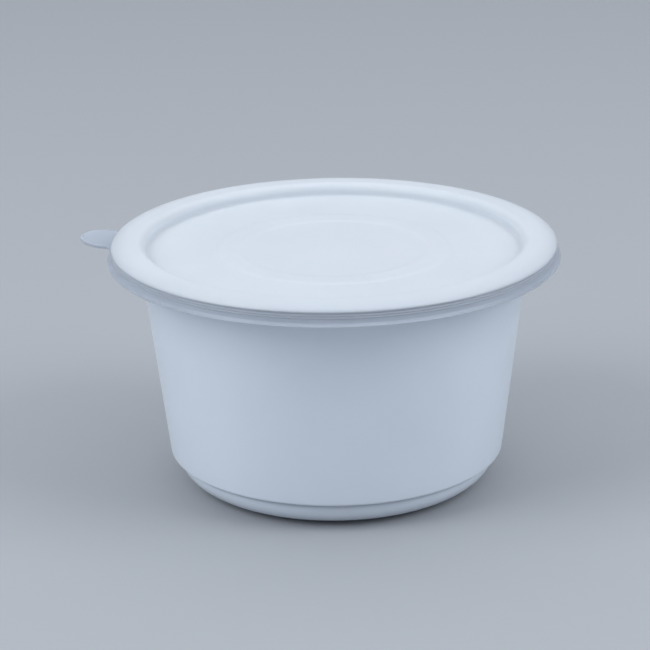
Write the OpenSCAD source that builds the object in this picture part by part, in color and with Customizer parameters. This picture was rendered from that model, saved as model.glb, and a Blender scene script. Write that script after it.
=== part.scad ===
// Round moulded bowl for go stones, with a press-on lid and its pull tab.
// Millimetres. +Z is up, the origin is the centre of the foot, where it
// stands on the table. The front is -Y, and the pull tab is at the left.

/* [Bowl] */
// Height of the bowl's rim above the table
rim_z = 72.6; // [70:0.1:76]
// Outer radius of the conical wall at its bottom edge
wall_low_r = 49.45; // [49:0.05:50]
// Outer radius of the conical wall at the rim
wall_top_r = 57.2; // [56.9:0.1:57.5]
// Thickness of the bowl's wall and floor
wall_t = 1.1; // [0.9:0.05:1.2]
// Rounding of the wall's bottom edge
wall_edge_r = 1.1; // [0.6:0.1:1.4]
// Width of the rim flange's outer edge, as a radius
flange_r = 64; // [63.6:0.1:64]
// Depth of the flange's turned-down edge
flange_drop = 3.5; // [2.5:0.1:3.6]

/* [Foot] */
// Height of the step between the wall and the foot
foot_z = 8.65; // [8:0.05:10]
// Radius of the foot where it leaves the step
foot_top_r = 46.4; // [46:0.1:46.8]
// Radius of the foot where its rounding starts
foot_side_r = 46.85; // [46.5:0.05:47]
// Height of the foot's rounding
foot_round_z = 6.8; // [6:0.1:7.2]
// Radius of the flat that stands on the table
contact_r = 35.7; // [33:0.1:37]

/* [Lid] */
// Thickness of the lid's skin
lid_t = 0.7; // [0.6:0.05:0.8]
// Gap between the bowl's rim and the lid's underside
rim_gap = 0.1; // [0.1:0.05:0.3]
// Outer radius of the lid's raised bead
bead_r = 65; // [65:0.1:65.4]
// Outer radius of the lip at the bottom of the lid's skirt
lip_r = 66.1; // [66:0.1:66.6]
// Height of the lid's skirt, from the top of the bead to the lip
skirt_h = 5.65; // [5.4:0.05:6]
// Depth of the sunk panel below the top of the bead
panel_drop = 3.8; // [3:0.1:4.2]
// Inner radius of the low ring on the panel
land_in_r = 27; // [20:0.5:30]
// Outer radius of the low ring on the panel
land_out_r = 34.2; // [32:0.1:44]
// Height of the low ring on the panel
land_h = 0.25; // [0.1:0.05:0.5]

/* [Pull tab] */
// Direction of the tab about the bowl's axis, from +X towards +Y
tab_az = 167; // [0:1:360]
// Radius of the tab's round end, which is half its width
tab_end_r = 7.7; // [6:0.1:8]
// Distance from the bowl's axis to the middle of the tab's round end
tab_mid_r = 69.7; // [69:0.1:73]
// Thickness of the tab
tab_t = 0.7; // [0.5:0.05:0.9]
// Height of the tab's thicker edge above its face
tab_edge_h = 0.3; // [0.1:0.05:0.5]
// Distance from the bowl's axis to the crease that the tab bends on
crease_r = 67.9; // [67.6:0.1:68.4]
// Angle at which the tab rises from the lip, at rest
tab_rise = 4; // [0:0.5:8]

/* [Hidden] */
$fn = 96;

// Slope of the wall, as growth of the radius with height
wall_k = (wall_top_r - wall_low_r) / (rim_z - foot_z);
// Outer and inner radius of the wall at a height
function wall_out(z) = wall_low_r + wall_k * (z - foot_z);
function wall_in(z) = wall_out(z) - wall_t;
// Points along an arc, from angle a to angle b
function arc(x, y, rx, ry, a, b, n) =
    [for (i = [0 : n]) let (t = a + (b - a) * i / n) [x + rx * cos(t), y + ry * sin(t)]];

// Rounding of the mouth's inner edge
mouth_round = 1.5;
// Gap between the lid's plug and the bowl's wall
plug_gap = 0.35;
// Underside and top of the lid's bead, and top of its sunk panel
under_z = rim_z + rim_gap;
top_z = under_z + lid_t;
panel_z = top_z - panel_drop;
lip_z = top_z - skirt_h;
// Middle of the arcs that turn the bead down into the plug
turn_r = wall_in(rim_z - mouth_round) - plug_gap + 1.8;
turn_z = under_z - 1.8;
// Width and height of the bead's crown, on its outer half
crown_r = 4.6;
crown_h = 1.7;
tab_z = lip_z + 0.12;

module bowl() {
    color([0.90, 0.92, 0.95])
    rotate_extrude($fn = 180)
    polygon(concat(
        // underside and outside, from the middle of the foot up to the rim
        [[0, 0]],
        arc(contact_r, foot_round_z, foot_side_r - contact_r, foot_round_z, -90, 0, 8),
        [[foot_top_r, foot_z - 0.5], [foot_top_r + 0.3, foot_z]],
        arc(wall_low_r - wall_edge_r, foot_z + wall_edge_r, wall_edge_r, wall_edge_r, -90, 0, 5),
        [[wall_out(rim_z - wall_t - 1), rim_z - wall_t - 1],
         [wall_out(rim_z - wall_t) + 0.6, rim_z - wall_t],
         [flange_r - wall_t, rim_z - wall_t],
         [flange_r - wall_t, rim_z - flange_drop],
         [flange_r, rim_z - flange_drop]],
        arc(flange_r - 3.8, rim_z - 1, 3.8, 1, 0, 90, 7),
        // mouth and inside, from the rim down to the middle of the floor
        arc(wall_in(rim_z - mouth_round) + mouth_round, rim_z - mouth_round,
            mouth_round, mouth_round, 90, 180, 6),
        arc(wall_in(foot_z + wall_t + 1.2) - 1.2, foot_z + wall_t + 1.2, 1.2, 1.2, 0, -90, 5),
        arc(foot_top_r - wall_t + 0.9, foot_z + wall_t - 0.9, 0.9, 0.9, 90, 180, 4),
        arc(contact_r, foot_round_z, foot_side_r - contact_r - wall_t, foot_round_z - wall_t, 0, -90, 8),
        [[0, wall_t]]));
}

// Outline of the lid's skin from the axis out, over the bead and down the skirt
module lid_skin() {
    rotate_extrude($fn = 180)
    polygon(concat(
        // top: panel with its low ring, step up to the bead, bead
        [[0, panel_z], [land_in_r, panel_z], [land_in_r + 0.4, panel_z + land_h],
         [land_out_r - 0.4, panel_z + land_h], [land_out_r, panel_z]],
        arc(turn_r - 1.8 - lid_t - 0.9, panel_z + 0.9, 0.9, 0.9, -90, 0, 5),
        arc(turn_r, turn_z, 1.8 + lid_t, 1.8 + lid_t, 180, 90, 8),
        arc(bead_r - crown_r, top_z - crown_h, crown_r, crown_h, 90, 0, 9),
        // outside of the skirt: a groove under the crown, two fine ridges, the lip
        [[bead_r, top_z - 1.85], [bead_r - 0.25, top_z - 1.97], [bead_r - 0.25, top_z - 2.37],
         [bead_r, top_z - 2.5], [bead_r, top_z - 2.85], [bead_r - 0.12, top_z - 3.0],
         [bead_r + 0.05, top_z - 3.17], [bead_r + 0.05, top_z - 3.4], [bead_r - 0.05, top_z - 3.6],
         [bead_r - 0.02, lip_z + 1.0], [bead_r + 0.27, lip_z + 0.5],
         [lip_r - 0.25, lip_z + 0.4], [lip_r, lip_z + 0.25], [lip_r, lip_z + 0.05],
         [lip_r - 0.05, lip_z], [lip_r - 1.55, lip_z],
         // inside of the skirt
         [lip_r - 1.6, lip_z + 0.08], [bead_r + 0.02 - lid_t, lip_z + 0.35],
         [bead_r + 0.02 - lid_t, top_z - 3.1]],
        arc(bead_r - crown_r, top_z - crown_h, crown_r - lid_t, crown_h - lid_t, 0, 90, 8),
        // underside: bead, plug and panel
        arc(turn_r, turn_z, 1.8, 1.8, 90, 180, 8),
        arc(turn_r - 3.4, panel_z - lid_t + 1.6, 1.6, 1.6, 0, -90, 5),
        [[0, panel_z - lid_t]]));
}

module lid() {
    color([0.84, 0.89, 0.96])
    union() {
        lid_skin();
        // root that the tab grows out of, flared into the lip
        rotate([0, 0, tab_az])
        difference() {
            translate([0, 0, tab_z])
            linear_extrude(height = tab_t)
            polygon([[63, -13], [lip_r - 1.5, -tab_end_r - 3.4], [lip_r - 0.2, -tab_end_r - 1.7],
                     [crease_r - 0.4, -tab_end_r - 0.4], [crease_r - 0.4, tab_end_r + 0.4],
                     [lip_r - 0.2, tab_end_r + 1.7], [lip_r - 1.5, tab_end_r + 3.4], [63, 13]]);
            translate([0, 0, lip_z - 1])
            cylinder(r = bead_r - 0.3, h = 4, $fn = 180);
        }
    }
}

// Flat plate with straight sides and a round end, along +X from the bowl's axis
module tab_plate(r, z, h) {
    translate([tab_mid_r, 0, z])
    cylinder(r = r, h = h, $fn = 96);
    translate([tab_mid_r - 8, -r, z])
    cube([8, 2 * r, h]);
}

module pull_tab() {
    color([0.84, 0.89, 0.96])
    rotate([0, 0, tab_az])
    translate([crease_r, 0, tab_z])
    rotate([0, -tab_rise, 0])
    translate([-crease_r, 0, -tab_z])
    difference() {
        union() {
            tab_plate(tab_end_r, tab_z, tab_t);
            // thicker edge round the tab
            difference() {
                tab_plate(tab_end_r, tab_z, tab_t + tab_edge_h);
                tab_plate(tab_end_r - 0.9, tab_z - 1, tab_t + tab_edge_h + 2);
            }
        }
        // the tab starts just outside the crease
        translate([crease_r + 0.3 - 40, -20, tab_z - 5])
        cube([40, 40, 10]);
    }
}

bowl();
lid();
pull_tab();
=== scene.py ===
import math
import bpy
import bmesh
from mathutils import Matrix, Vector


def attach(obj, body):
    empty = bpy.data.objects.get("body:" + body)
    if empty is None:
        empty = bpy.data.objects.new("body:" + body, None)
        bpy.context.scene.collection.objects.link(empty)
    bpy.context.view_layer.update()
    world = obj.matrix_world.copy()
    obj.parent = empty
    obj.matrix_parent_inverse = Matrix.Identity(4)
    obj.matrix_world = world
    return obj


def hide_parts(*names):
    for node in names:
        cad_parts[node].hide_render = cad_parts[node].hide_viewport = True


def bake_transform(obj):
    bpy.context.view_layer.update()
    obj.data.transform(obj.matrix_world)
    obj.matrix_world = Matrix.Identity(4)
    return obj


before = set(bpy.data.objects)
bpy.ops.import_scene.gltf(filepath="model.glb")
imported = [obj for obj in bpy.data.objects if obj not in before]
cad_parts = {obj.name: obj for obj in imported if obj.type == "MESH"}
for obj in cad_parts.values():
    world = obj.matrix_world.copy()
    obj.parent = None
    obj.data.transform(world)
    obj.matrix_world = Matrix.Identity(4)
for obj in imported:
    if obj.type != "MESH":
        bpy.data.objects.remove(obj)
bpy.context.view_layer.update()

MM = 0.001


# ---------------------------------------------------------------- profile helpers (millimetres)
def smooth(x):
    x = min(max(x, 0.0), 1.0)
    return x * x * (3 - 2 * x)


def rounded(points):
    """Polyline through (r, z, fillet) points, with each corner turned by an arc of its fillet's radius."""
    out = []
    n = len(points)
    for i, p in enumerate(points):
        r = p[2] if len(p) > 2 else 0.0
        if r <= 0 or i in (0, n - 1):
            out.append((p[0], p[1]))
            continue
        a, b, c = Vector(points[i - 1][:2]), Vector(p[:2]), Vector(points[i + 1][:2])
        u, v = (a - b).normalized(), (c - b).normalized()
        cosang = max(-1.0, min(1.0, u.dot(v)))
        ang = math.acos(cosang)
        if ang > math.radians(179.2):
            out.append((p[0], p[1]))
            continue
        d = min(r / math.tan(ang / 2), 0.49 * (a - b).length, 0.49 * (c - b).length)
        rr = d * math.tan(ang / 2)
        centre = b + (u + v).normalized() * (rr / math.sin(ang / 2))
        s, e = b + u * d - centre, b + v * d - centre
        a0 = math.atan2(s.y, s.x)
        turn = math.atan2(s.x * e.y - s.y * e.x, s.dot(e))
        steps = max(3, int(abs(turn) / math.radians(13)) + 1)
        for k in range(steps + 1):
            t = a0 + turn * k / steps
            out.append((centre.x + rr * math.cos(t), centre.y + rr * math.sin(t)))
    return out


def refine(points, longest):
    """Splits each run longer than the given length."""
    out = [points[0]]
    for a, b in zip(points, points[1:]):
        n = max(1, int(math.ceil(math.dist(a, b) / longest)))
        for k in range(1, n + 1):
            out.append((a[0] + (b[0] - a[0]) * k / n, a[1] + (b[1] - a[1]) * k / n))
    clean = [out[0]]
    for p in out[1:]:
        if math.dist(p, clean[-1]) > 0.015:
            clean.append(p)
    return clean


def arc(x, y, rx, ry, a, b, n):
    return [
        (x + rx * math.cos(math.radians(a + (b - a) * i / n)), y + ry * math.sin(math.radians(a + (b - a) * i / n)))
        for i in range(n + 1)
    ]


def mesh_object(name, verts, faces):
    me = bpy.data.meshes.new(name)
    me.from_pydata([Vector(v) * MM for v in verts], [], faces)
    bm = bmesh.new()
    bm.from_mesh(me)
    bmesh.ops.recalc_face_normals(bm, faces=bm.faces)
    if bm.calc_volume(signed=True) < 0:
        bmesh.ops.reverse_faces(bm, faces=bm.faces)
    bm.to_mesh(me)
    bm.free()
    me.polygons.foreach_set("use_smooth", [True] * len(me.polygons))
    me.update()
    ob = bpy.data.objects.new(name, me)
    bpy.context.collection.objects.link(ob)
    return ob


def skin_rings(rings, low_pole, high_pole):
    """Vertices and quads for closed rings, with a pole at each end."""
    n = len(rings[0])
    verts, faces = [low_pole], []
    for ring in rings:
        verts.extend(ring)
    verts.append(high_pole)
    last = len(verts) - 1
    for k in range(n):
        faces.append((0, 1 + (k + 1) % n, 1 + k))
    for i in range(len(rings) - 1):
        a, b = 1 + i * n, 1 + (i + 1) * n
        for k in range(n):
            faces.append((a + k, a + (k + 1) % n, b + (k + 1) % n, b + k))
    top = 1 + (len(rings) - 1) * n
    for k in range(n):
        faces.append((last, top + k, top + (k + 1) % n))
    return verts, faces


# ---------------------------------------------------------------- dimensions (millimetres), as in the design
RIM_Z = 72.6
WALL_LOW_R, WALL_TOP_R, WALL_T = 49.45, 57.2, 1.1
FOOT_Z = 8.65
K = (WALL_TOP_R - WALL_LOW_R) / (RIM_Z - FOOT_Z)
FLANGE_R, FLANGE_DROP = 64.0, 3.5
LID_T = 0.7
TOP_Z = 73.4
PANEL_Z = 69.6
LIP_Z = 67.75
BEAD_R, LIP_R = 65.0, 66.1
TURN_R = 57.368
TURN_Z = 70.9
TAB_AZ = math.radians(167.0)
TAB_END, TAB_MID, CREASE = 7.68, 69.67, 67.9
TAB_Z, TAB_T, TAB_EDGE = 67.87, 0.7, 0.3
TAB_RISE = math.tan(math.radians(4.0))


def wall_out(z):
    return WALL_LOW_R + K * (z - FOOT_Z)


# ---------------------------------------------------------------- bowl
def make_bowl():
    outside = rounded([
        (0.0, 0.85), (2.4, 0.85, 0.3), (3.1, 0.45, 0.4), (29.5, 0.45, 4.0), (32.4, 0.0, 1.2), (35.7, 0.0),
    ])[:-1]
    outside += arc(35.7, 6.8, 11.15, 6.8, -90, 0, 26)
    outside += rounded([
        (46.85, 6.8), (46.5, FOOT_Z - 0.35, 0.3), (46.7, FOOT_Z + 0.05, 0.2), (WALL_LOW_R, FOOT_Z, 0.95),
        (wall_out(RIM_Z - WALL_T), RIM_Z - WALL_T, 1.4),
        (FLANGE_R - WALL_T, RIM_Z - WALL_T, 0.6), (FLANGE_R - WALL_T, RIM_Z - FLANGE_DROP, 0.3),
        (FLANGE_R, RIM_Z - FLANGE_DROP, 0.35), (FLANGE_R, RIM_Z - 1.05),
    ])[1:]
    outside += arc(FLANGE_R - 3.8, RIM_Z - 1.0, 3.8, 1.0, 5, 90, 12)
    outside += rounded([
        (60.0, RIM_Z), (wall_out(RIM_Z) - WALL_T, RIM_Z, 1.5),
        (wall_out(FOOT_Z + WALL_T) - WALL_T, FOOT_Z + WALL_T, 1.6), (45.3, FOOT_Z + WALL_T, 0.9), (45.75, 6.8),
    ])[1:]
    inside = arc(35.7, 6.8, 10.05, 5.7, 0, -90, 22)[1:] + [(3.4, 1.1), (3.0, 1.3), (0.9, 1.34), (0.0, 1.34)]
    prof = refine(outside + inside, 3.2)
    n = 256
    rings = []
    for r, z in prof[1:-1]:
        rings.append([(r * math.cos(2 * math.pi * k / n), r * math.sin(2 * math.pi * k / n), z) for k in range(n)])
    verts, faces = skin_rings(rings, (0, 0, prof[0][1]), (0, 0, prof[-1][1]))
    return mesh_object("bowl_shell", verts, faces)


# ---------------------------------------------------------------- lid with its pull tab, one moulding
def tab_outline(alpha, count):
    """Points round the tab in its own frame (u along the tab, v across), from +alpha to -alpha on the lip."""
    s = (LIP_R * math.cos(alpha), LIP_R * math.sin(alpha))
    corner = (math.sqrt(LIP_R ** 2 - TAB_END ** 2), TAB_END)
    side = (68.3, TAB_END)
    pts = []
    for i in range(25):
        t = i / 24
        pts.append(tuple((1 - t) ** 2 * s[j] + 2 * t * (1 - t) * corner[j] + t * t * side[j] for j in (0, 1)))
    for i in range(1, 9):
        pts.append((side[0] + (TAB_MID - side[0]) * i / 8, TAB_END))
    half = pts + [
        (TAB_MID + TAB_END * math.sin(math.radians(a)), TAB_END * math.cos(math.radians(a))) for a in range(3, 90, 3)
    ]
    full = half + [(TAB_MID + TAB_END, 0.0)] + [(u, -v) for u, v in reversed(half)]
    length = [0.0]
    for a, b in zip(full, full[1:]):
        length.append(length[-1] + math.dist(a, b))
    out, j = [], 0
    for i in range(count + 1):
        want = length[-1] * i / count
        while j < len(full) - 2 and length[j + 1] < want:
            j += 1
        t = (want - length[j]) / (length[j + 1] - length[j])
        out.append((full[j][0] + (full[j + 1][0] - full[j][0]) * t, full[j][1] + (full[j + 1][1] - full[j][1]) * t, want))
    return out, length[-1]


def make_lid():
    alpha = math.asin(10.2 / LIP_R)
    m = 96
    outline, total = tab_outline(alpha, m)
    # angles: m steps over the tab, the rest of the circle evenly
    rest = 264
    angles, tab_index = [], []
    for i in range(m + 1):
        angles.append(alpha - 2 * alpha * i / m)
        tab_index.append(i)
    span = 2 * math.pi - 2 * alpha
    for i in range(1, rest):
        angles.append(-alpha - span * i / rest)
        tab_index.append(None)
    # outward direction of the outline at each of its points
    normals = []
    for i in range(m + 1):
        if i in (0, m):
            a = outline[i]
            d = Vector((a[0], a[1])).normalized()
        else:
            t = Vector((outline[i + 1][0] - outline[i - 1][0], outline[i + 1][1] - outline[i - 1][1])).normalized()
            d = Vector((-t.y, t.x))
            if d.dot(Vector((1.0, 0.0))) < 0 and abs(outline[i][1]) < 7:
                d = -d
            if abs(outline[i][1]) >= 7 and d.y * outline[i][1] < 0:
                d = -d
        normals.append(d)

    top = rounded([
        (0.0, PANEL_Z), (26.3, PANEL_Z, 4.0), (27.7, PANEL_Z + 0.25, 3.0), (33.2, PANEL_Z + 0.25, 3.0),
        (34.6, PANEL_Z, 4.0), (TURN_R - 2.5, PANEL_Z, 1.4), (TURN_R - 2.45, TURN_Z),
    ])
    top += arc(TURN_R, TURN_Z, 2.5, 2.5, 180, 90, 14)[1:]
    top += arc(BEAD_R - 4.6, TOP_Z - 1.7, 4.6, 1.7, 90, 5, 18)
    top += rounded([
        (BEAD_R, TOP_Z - 1.73), (BEAD_R, TOP_Z - 1.87, 0.05), (BEAD_R - 0.25, TOP_Z - 1.97, 0.06),
        (BEAD_R - 0.25, TOP_Z - 2.37, 0.08), (BEAD_R, TOP_Z - 2.5, 0.08), (BEAD_R, TOP_Z - 2.85, 0.1),
        (BEAD_R - 0.14, TOP_Z - 3.01, 0.08), (BEAD_R + 0.05, TOP_Z - 3.17, 0.08), (BEAD_R + 0.05, TOP_Z - 3.4, 0.1),
        (BEAD_R - 0.07, TOP_Z - 3.6, 0.3), (BEAD_R - 0.05, TOP_Z - 4.8, 0.45), (BEAD_R + 0.3, TOP_Z - 5.17),
    ])
    # closer rings round the middle, for the gate mark
    top = [top[0]] + [(0.35 * k, PANEL_Z) for k in range(1, 22)] + top[1:]
    top = refine(top, 2.6)
    flare_r, flare_z = top[-1]
    edge_top, edge_low = LIP_Z + 0.4, LIP_Z
    rho = 0.19
    # inside of the skirt, from the lip's bottom up and back to the middle of the underside
    under = rounded([
        (LIP_R - 1.0, LIP_Z), (LIP_R - 1.58, LIP_Z, 0.06), (BEAD_R + 0.02 - LID_T, LIP_Z + 0.35, 0.3),
        (BEAD_R + 0.02 - LID_T, TOP_Z - 3.1, 0.8), (BEAD_R - LID_T, TOP_Z - 1.7),
    ])
    under += arc(BEAD_R - 4.6, TOP_Z - 1.7, 4.6 - LID_T, 1.7 - LID_T, 0, 90, 10)[1:]
    under += arc(TURN_R, TURN_Z, 1.8, 1.8, 90, 180, 10)
    under += arc(TURN_R - 3.4, PANEL_Z - LID_T + 1.6, 1.6, 1.6, 0, -90, 8)
    under += rounded([(34.6, PANEL_Z - LID_T), (34.3, PANEL_Z - LID_T, 1.0), (33.6, PANEL_Z - LID_T + 0.22, 1.0),
        (27.5, PANEL_Z - LID_T + 0.22, 1.0), (26.8, PANEL_Z - LID_T, 1.0), (20.0, PANEL_Z - LID_T),
        (1.2, PANEL_Z - LID_T, 0.2), (1.05, PANEL_Z - LID_T - 0.22, 0.1), (0.0, PANEL_Z - LID_T - 0.22)])
    under = refine(under, 3.0)

    def place(r, ang, z):
        a = TAB_AZ + ang
        return (r * math.cos(a), r * math.sin(a), z)

    def place_uv(u, v, z):
        c, s = math.cos(TAB_AZ), math.sin(TAB_AZ)
        return (u * c - v * s, u * s + v * c, z)

    def mark(p):
        """Small round scar of the gate, just off the middle of the panel."""
        d = math.hypot(p[0] + 2.5, p[1] + 3.0)
        e = math.hypot(p[0] - 4.0, p[1] - 11.0)
        dz = 0.06 * math.exp(-((d - 0.9) / 0.3) ** 2) - 0.12 * math.exp(-(d / 0.7) ** 2)
        return (p[0], p[1], p[2] + dz - 0.04 * math.exp(-(e / 0.9) ** 2))

    rings = []
    for r, z in top[1:]:
        rings.append([mark(place(r, a, z)) if r < 14 else place(r, a, z) for a in angles])

    def ramp(i):
        """0 where the tab grows out of the lip, 1 along the tab."""
        w = outline[i][2]
        return smooth(min(w, total - w) / 3.4)

    def rise(u):
        return TAB_RISE * max(0.0, u - CREASE) if u > CREASE else 0.0

    # upper side of the lip and the tab
    steps = [0.05, 0.12, 0.2, 0.3, 0.41, 0.52, 0.63, 0.73, 0.81, 0.865, 0.9, 0.925, 0.945, 0.965, 0.985, 1.0]
    for t in steps:
        ring = []
        for a, i in zip(angles, tab_index):
            if i is None:
                r = flare_r + (LIP_R - rho - flare_r) * t
                z = flare_z + (edge_top - flare_z) * t
                ring.append(place(r, a, z))
                continue
            o, nrm = outline[i], normals[i]
            end = (o[0] - nrm.x * rho, o[1] - nrm.y * rho)
            start = (flare_r * math.cos(a), flare_r * math.sin(a))
            u = start[0] + (end[0] - start[0]) * t
            v = start[1] + (end[1] - start[1]) * t
            d = math.hypot(u, v) - flare_r
            lip = flare_z + (edge_top - flare_z) * min(1.0, d / (LIP_R - rho - flare_r))
            away = math.dist((u, v), (o[0], o[1]))
            bead = TAB_EDGE * (1 - smooth((away - 0.45) / 0.55))
            plate = TAB_Z + TAB_T + rise(u) + bead * smooth((math.hypot(u, v) - 66.9) / 1.2)
            g = ramp(i)
            flat = edge_top + (plate - edge_top) * g
            h = flare_z - 1.25 * d
            k = 0.12
            zz = 0.5 * (h + flat + math.sqrt((h - flat) ** 2 + k * k))
            z = lip + (zz - lip) * g * smooth(t / 0.12)
            ring.append(place_uv(u, v, z))
        rings.append(ring)
    # rounded edge
    for part, q in (("t", 60), ("t", 30), ("t", 0), ("b", 0), ("b", -30), ("b", -60), ("b", -90)):
        ring = []
        cq, sq = math.cos(math.radians(q)), math.sin(math.radians(q))
        for a, i in zip(angles, tab_index):
            if i is None:
                r = LIP_R - rho + rho * cq
                z = (edge_top - rho + rho * sq) if part == "t" else (edge_low + rho + rho * sq)
                ring.append(place(r, a, z))
                continue
            o, nrm = outline[i], normals[i]
            g = ramp(i)
            u = o[0] - nrm.x * rho * (1 - cq)
            v = o[1] - nrm.y * rho * (1 - cq)
            hi = edge_top + (TAB_Z + TAB_T + rise(o[0]) + TAB_EDGE * smooth((math.hypot(o[0], o[1]) - 66.9) / 1.2) - edge_top) * g
            lo = edge_low + (TAB_Z + rise(o[0]) - edge_low) * g
            z = (hi - rho + rho * sq) if part == "t" else (lo + rho + rho * sq)
            ring.append(place_uv(u, v, z))
        rings.append(ring)
    # underside of the tab and the lip
    for t in (0.06, 0.14, 0.24, 0.36, 0.48, 0.6, 0.7, 0.8, 0.88, 0.94, 1.0):
        ring = []
        for a, i in zip(angles, tab_index):
            if i is None:
                ring.append(place(LIP_R - rho + (LIP_R - 1.0 - (LIP_R - rho)) * t, a, edge_low))
                continue
            o, nrm = outline[i], normals[i]
            g = ramp(i)
            start = (o[0] - nrm.x * rho, o[1] - nrm.y * rho)
            end = ((LIP_R - 1.0) * math.cos(a), (LIP_R - 1.0) * math.sin(a))
            u = start[0] + (end[0] - start[0]) * t
            v = start[1] + (end[1] - start[1]) * t
            d = math.hypot(u, v) - (LIP_R - 1.0)
            z = edge_low + (TAB_Z + rise(u) - edge_low) * g * smooth(d / 1.4)
            ring.append(place_uv(u, v, z))
        rings.append(ring)
    for r, z in under[1:-1]:
        rings.append([place(r, a, z) for a in angles])
    verts, faces = skin_rings(rings, (0, 0, top[0][1]), (0, 0, under[-1][1]))
    return mesh_object("lid_shell", verts, faces)


# ---------------------------------------------------------------- materials
def shader(name):
    m = bpy.data.materials.new(name)
    m.use_nodes = True
    nt = m.node_tree
    nt.nodes.clear()
    out = nt.nodes.new("ShaderNodeOutputMaterial")
    p = nt.nodes.new("ShaderNodeBsdfPrincipled")
    nt.links.new(p.outputs[0], out.inputs[0])
    return m, nt, p


def node(nt, kind, **kw):
    n = nt.nodes.new(kind)
    for k, v in kw.items():
        setattr(n, k, v)
    return n


def math_node(nt, op, a, b=None, clamp=False):
    n = node(nt, "ShaderNodeMath", operation=op, use_clamp=clamp)
    for i, x in enumerate((a, b)):
        if x is None:
            continue
        if isinstance(x, (int, float)):
            n.inputs[i].default_value = x
        else:
            nt.links.new(x, n.inputs[i])
    return n.outputs[0]


def noise(nt, vector, scale, detail=2.0, rough=0.5):
    n = node(nt, "ShaderNodeTexNoise")
    nt.links.new(vector, n.inputs["Vector"])
    n.inputs["Scale"].default_value = scale
    n.inputs["Detail"].default_value = detail
    n.inputs["Roughness"].default_value = rough
    return n.outputs["Fac"]


def remap(nt, value, a, b, c, d):
    n = node(nt, "ShaderNodeMapRange")
    nt.links.new(value, n.inputs[0])
    for i, x in zip((1, 2, 3, 4), (a, b, c, d)):
        n.inputs[i].default_value = x
    return n.outputs[0]


def bump_layers(nt, p, layers):
    last = None
    for height, distance in layers:
        bump = node(nt, "ShaderNodeBump")
        bump.inputs["Strength"].default_value = 1.0
        bump.inputs["Distance"].default_value = distance
        nt.links.new(height, bump.inputs["Height"])
        if last is not None:
            nt.links.new(last, bump.inputs["Normal"])
        last = bump.outputs[0]
    nt.links.new(last, p.inputs["Normal"])


def mix_colour(nt, fac, a, b, blend="MIX"):
    n = node(nt, "ShaderNodeMix", data_type="RGBA", blend_type=blend)
    if isinstance(fac, (int, float)):
        n.inputs[0].default_value = fac
    else:
        nt.links.new(fac, n.inputs[0])
    for i, x in ((6, a), (7, b)):
        if isinstance(x, tuple):
            n.inputs[i].default_value = x
        else:
            nt.links.new(x, n.inputs[i])
    return n.outputs[2]


def streaks(nt, vector, scale, stretch):
    """Soft drag marks: noise stretched along the height, kept only where it is strong."""
    mp = node(nt, "ShaderNodeMapping")
    nt.links.new(vector, mp.inputs["Vector"])
    mp.inputs["Scale"].default_value = stretch
    return remap(nt, noise(nt, mp.outputs[0], scale, 2.0, 0.5), 0.5, 0.75, 0.0, 1.0)


def make_white():
    m, nt, p = shader("white_polypropylene")
    tc = node(nt, "ShaderNodeTexCoord").outputs["Object"]
    sep = node(nt, "ShaderNodeSeparateXYZ")
    nt.links.new(tc, sep.inputs[0])
    z = sep.outputs[2]
    p.inputs["IOR"].default_value = 1.49
    p.inputs["Subsurface Weight"].default_value = 0.12
    p.inputs["Subsurface Radius"].default_value = (1.0, 1.0, 1.0)
    p.inputs["Subsurface Scale"].default_value = 0.0015
    # base colour: very slight mottling, and a little painted shade, broken up by noise, where the foot meets the table
    mott = noise(nt, tc, 45.0, 3.0)
    base = mix_colour(nt, remap(nt, mott, 0.3, 0.7, 0.0, 1.0), (0.80, 0.862, 0.94, 1), (0.825, 0.882, 0.955, 1))
    contact_shade = math_node(nt, "MULTIPLY", remap(nt, z, 0.0, 0.004, 1.0, 0.0), remap(nt, noise(nt, tc, 90.0, 4.0, 0.6), 0.42, 0.7, 0.0, 0.16))
    base = mix_colour(nt, contact_shade, base, (0.42, 0.44, 0.47, 1))
    # painted shade in the recess above the foot, where the step shades it
    x, y = sep.outputs[0], sep.outputs[1]
    rad = math_node(nt, "SQRT", math_node(nt, "ADD", math_node(nt, "MULTIPLY", x, x), math_node(nt, "MULTIPLY", y, y)))
    recess_shade = math_node(nt, "MULTIPLY", remap(nt, z, 0.0069, 0.0079, 0.0, 1.0), remap(nt, rad, 0.0480, 0.0487, 1.0, 0.0))
    recess_shade = math_node(nt, "MULTIPLY", recess_shade, remap(nt, rad, 0.0457, 0.0462, 0.0, 0.55))
    recess_shade = math_node(nt, "MULTIPLY", recess_shade, remap(nt, z, 0.0088, 0.0090, 1.0, 0.0))
    base = mix_colour(nt, recess_shade, base, (0.17, 0.19, 0.23, 1))
    # painted shade on the outer foot, darker towards the table
    low = math_node(nt, "MULTIPLY", remap(nt, z, 0.0, 0.0075, 0.30, 0.06), remap(nt, rad, 0.030, 0.036, 0.0, 1.0))
    base = mix_colour(nt, low, base, (0.30, 0.32, 0.36, 1))
    nt.links.new(base, p.inputs["Base Color"])
    # roughness: a polished mould, cloudy in places, with fine scuffs down the wall
    r1 = noise(nt, tc, 60.0, 4.0, 0.6)
    rub = streaks(nt, tc, 55.0, (4.0, 4.0, 0.5))
    foot = remap(nt, z, 0.0, 0.0012, 0.12, 0.0)
    rough = math_node(nt, "ADD", remap(nt, r1, 0.3, 0.7, 0.285, 0.36), math_node(nt, "MULTIPLY", rub, 0.06))
    nt.links.new(math_node(nt, "ADD", rough, foot), p.inputs["Roughness"])
    # bump: slow waves left by the moulding
    wave = noise(nt, tc, 45.0, 0.0)
    slow = noise(nt, tc, 16.0, 0.0)
    bump_layers(nt, p, ((slow, 0.00025), (wave, 0.00008)))
    return m


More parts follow.
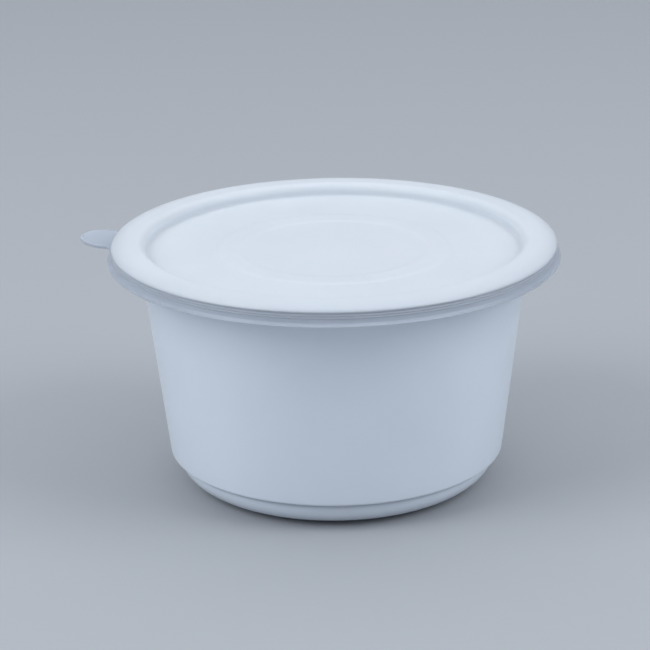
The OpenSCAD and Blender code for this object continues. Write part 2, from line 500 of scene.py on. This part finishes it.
def make_frosted():
    m, nt, p = shader("frosted_polypropylene")
    tc = node(nt, "ShaderNodeTexCoord").outputs["Object"]
    sep = node(nt, "ShaderNodeSeparateXYZ")
    nt.links.new(tc, sep.inputs[0])
    x, y, z = sep.outputs[0], sep.outputs[1], sep.outputs[2]
    rad = math_node(nt, "SQRT", math_node(nt, "ADD", math_node(nt, "MULTIPLY", x, x), math_node(nt, "MULTIPLY", y, y)))
    # 1 on the thin skirt and the tab, 0 on the top of the lid, which has the bowl's white inside behind it; the mask
    # sets transmission, gloss and a base colour darkened with painted shade
    side = remap(nt, rad, 0.0642, 0.0649, 0.0, 1.0)
    low = remap(nt, z, 0.0717, 0.0720, 1.0, 0.0)
    crown = remap(nt, rad, 0.0600, 0.0648, 0.0, 0.30)
    skirt = math_node(nt, "MAXIMUM", math_node(nt, "MULTIPLY", side, low), crown)
    p.inputs["IOR"].default_value = 1.49
    p.inputs["Subsurface Weight"].default_value = 0.35
    p.inputs["Subsurface Radius"].default_value = (1.0, 1.0, 1.0)
    p.inputs["Subsurface Scale"].default_value = 0.003
    nt.links.new(remap(nt, skirt, 0.0, 1.0, 0.2, 0.45), p.inputs["Transmission Weight"])
    mott = noise(nt, tc, 34.0, 3.0)
    base = mix_colour(nt, remap(nt, mott, 0.3, 0.7, 0.0, 1.0), (0.87, 0.915, 0.97, 1), (0.90, 0.938, 0.985, 1))
    # darker base colour where the mask is 1: painted shade on the skirt, the tab and the crown's outer edge, for the
    # shade seen through the frosted plastic
    skirt_shade_colour = mix_colour(nt, remap(nt, mott, 0.3, 0.7, 0.0, 1.0), (0.67, 0.72, 0.80, 1), (0.71, 0.76, 0.84, 1))
    nt.links.new(mix_colour(nt, skirt, base, skirt_shade_colour), p.inputs["Base Color"])
    r1 = noise(nt, tc, 55.0, 4.0, 0.6)
    rough = remap(nt, r1, 0.3, 0.7, 0.40, 0.52)
    rough = math_node(nt, "SUBTRACT", rough, math_node(nt, "MULTIPLY", skirt, 0.11))
    nt.links.new(rough, p.inputs["Roughness"])
    wave = noise(nt, tc, 38.0, 0.0)
    slow = noise(nt, tc, 14.0, 0.0)
    bump_layers(nt, p, ((slow, 0.00025), (wave, 0.00010)))
    return m


white, frosted = make_white(), make_frosted()

bowl = make_bowl()
bowl.data.materials.append(white)
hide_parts("bowl")
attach(bowl, "bowl")

lid = make_lid()
lid.data.materials.append(frosted)
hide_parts("lid", "pull_tab")
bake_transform(lid)

# the frame's own nodes are hidden by the pieces, and carry the same finishes
for name, mat in (("bowl", white), ("lid", frosted), ("pull_tab", frosted)):
    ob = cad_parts[name]
    ob.data.materials.clear()
    ob.data.materials.append(mat)

# ---------------------------------------------------------------- stage, lights, camera
fm, fnt, fp = shader("pale_floor")
fp.inputs["Base Color"].default_value = (0.43, 0.44, 0.455, 1)
fp.inputs["Roughness"].default_value = 0.7
fp.inputs["Specular IOR Level"].default_value = 0.3
bpy.ops.mesh.primitive_circle_add(vertices=96, radius=6.0, fill_type="NGON", location=(0, 0, -0.00003))
floor = bpy.context.object
floor.name = "floor"
floor.data.materials.append(fm)

world = bpy.data.worlds.new("studio")
bpy.context.scene.world = world
world.use_nodes = True
bg = world.node_tree.nodes["Background"]
bg.inputs[0].default_value = (0.80, 0.87, 1.0, 1)
bg.inputs[1].default_value = 0.38


def area(name, loc, target, size, power, colour=(1, 1, 1)):
    li = bpy.data.lights.new(name, "AREA")
    li.shape = "RECTANGLE"
    li.size, li.size_y = size
    li.energy = power
    li.color = colour
    ob = bpy.data.objects.new(name, li)
    bpy.context.collection.objects.link(ob)
    d = Vector(target) - Vector(loc)
    ob.matrix_world = Matrix.Translation(Vector(loc)) @ d.to_track_quat("-Z", "Y").to_matrix().to_4x4()
    return ob


area("overhead", (0.0, 0.3, 1.5), (0, 0.0, 0.05), (2.8, 2.4), 15.5, (0.90, 0.95, 1.0))
area("left", (-1.1, -0.55, 1.0), (0, 0, 0.05), (0.85, 1.0), 11.0, (0.90, 0.95, 1.0))
area("right", (1.15, -0.45, 1.0), (0, 0, 0.05), (0.85, 1.0), 9.6, (0.90, 0.95, 1.0))

cam_data = bpy.data.cameras.new("camera")
cam_data.sensor_width = 36.0
cam_data.lens = 137.706
cam_data.clip_start = 0.01
cam = bpy.data.objects.new("camera", cam_data)
bpy.context.collection.objects.link(cam)
right = Vector((0.999898519, -0.000702394, -0.0142287968)).normalized()
fwd = Vector((-0.00400005, 0.94476207, -0.32773256)).normalized()
up = right.cross(fwd).normalized()
right = fwd.cross(up).normalized()
cam.matrix_world = Matrix((
    (right.x, up.x, -fwd.x, 0.0),
    (right.y, up.y, -fwd.y, -0.69432713),
    (right.z, up.z, -fwd.z, 0.2866606),
    (0, 0, 0, 1),
))
bpy.context.scene.camera = cam
bpy.context.scene.view_settings.view_transform = "Standard"
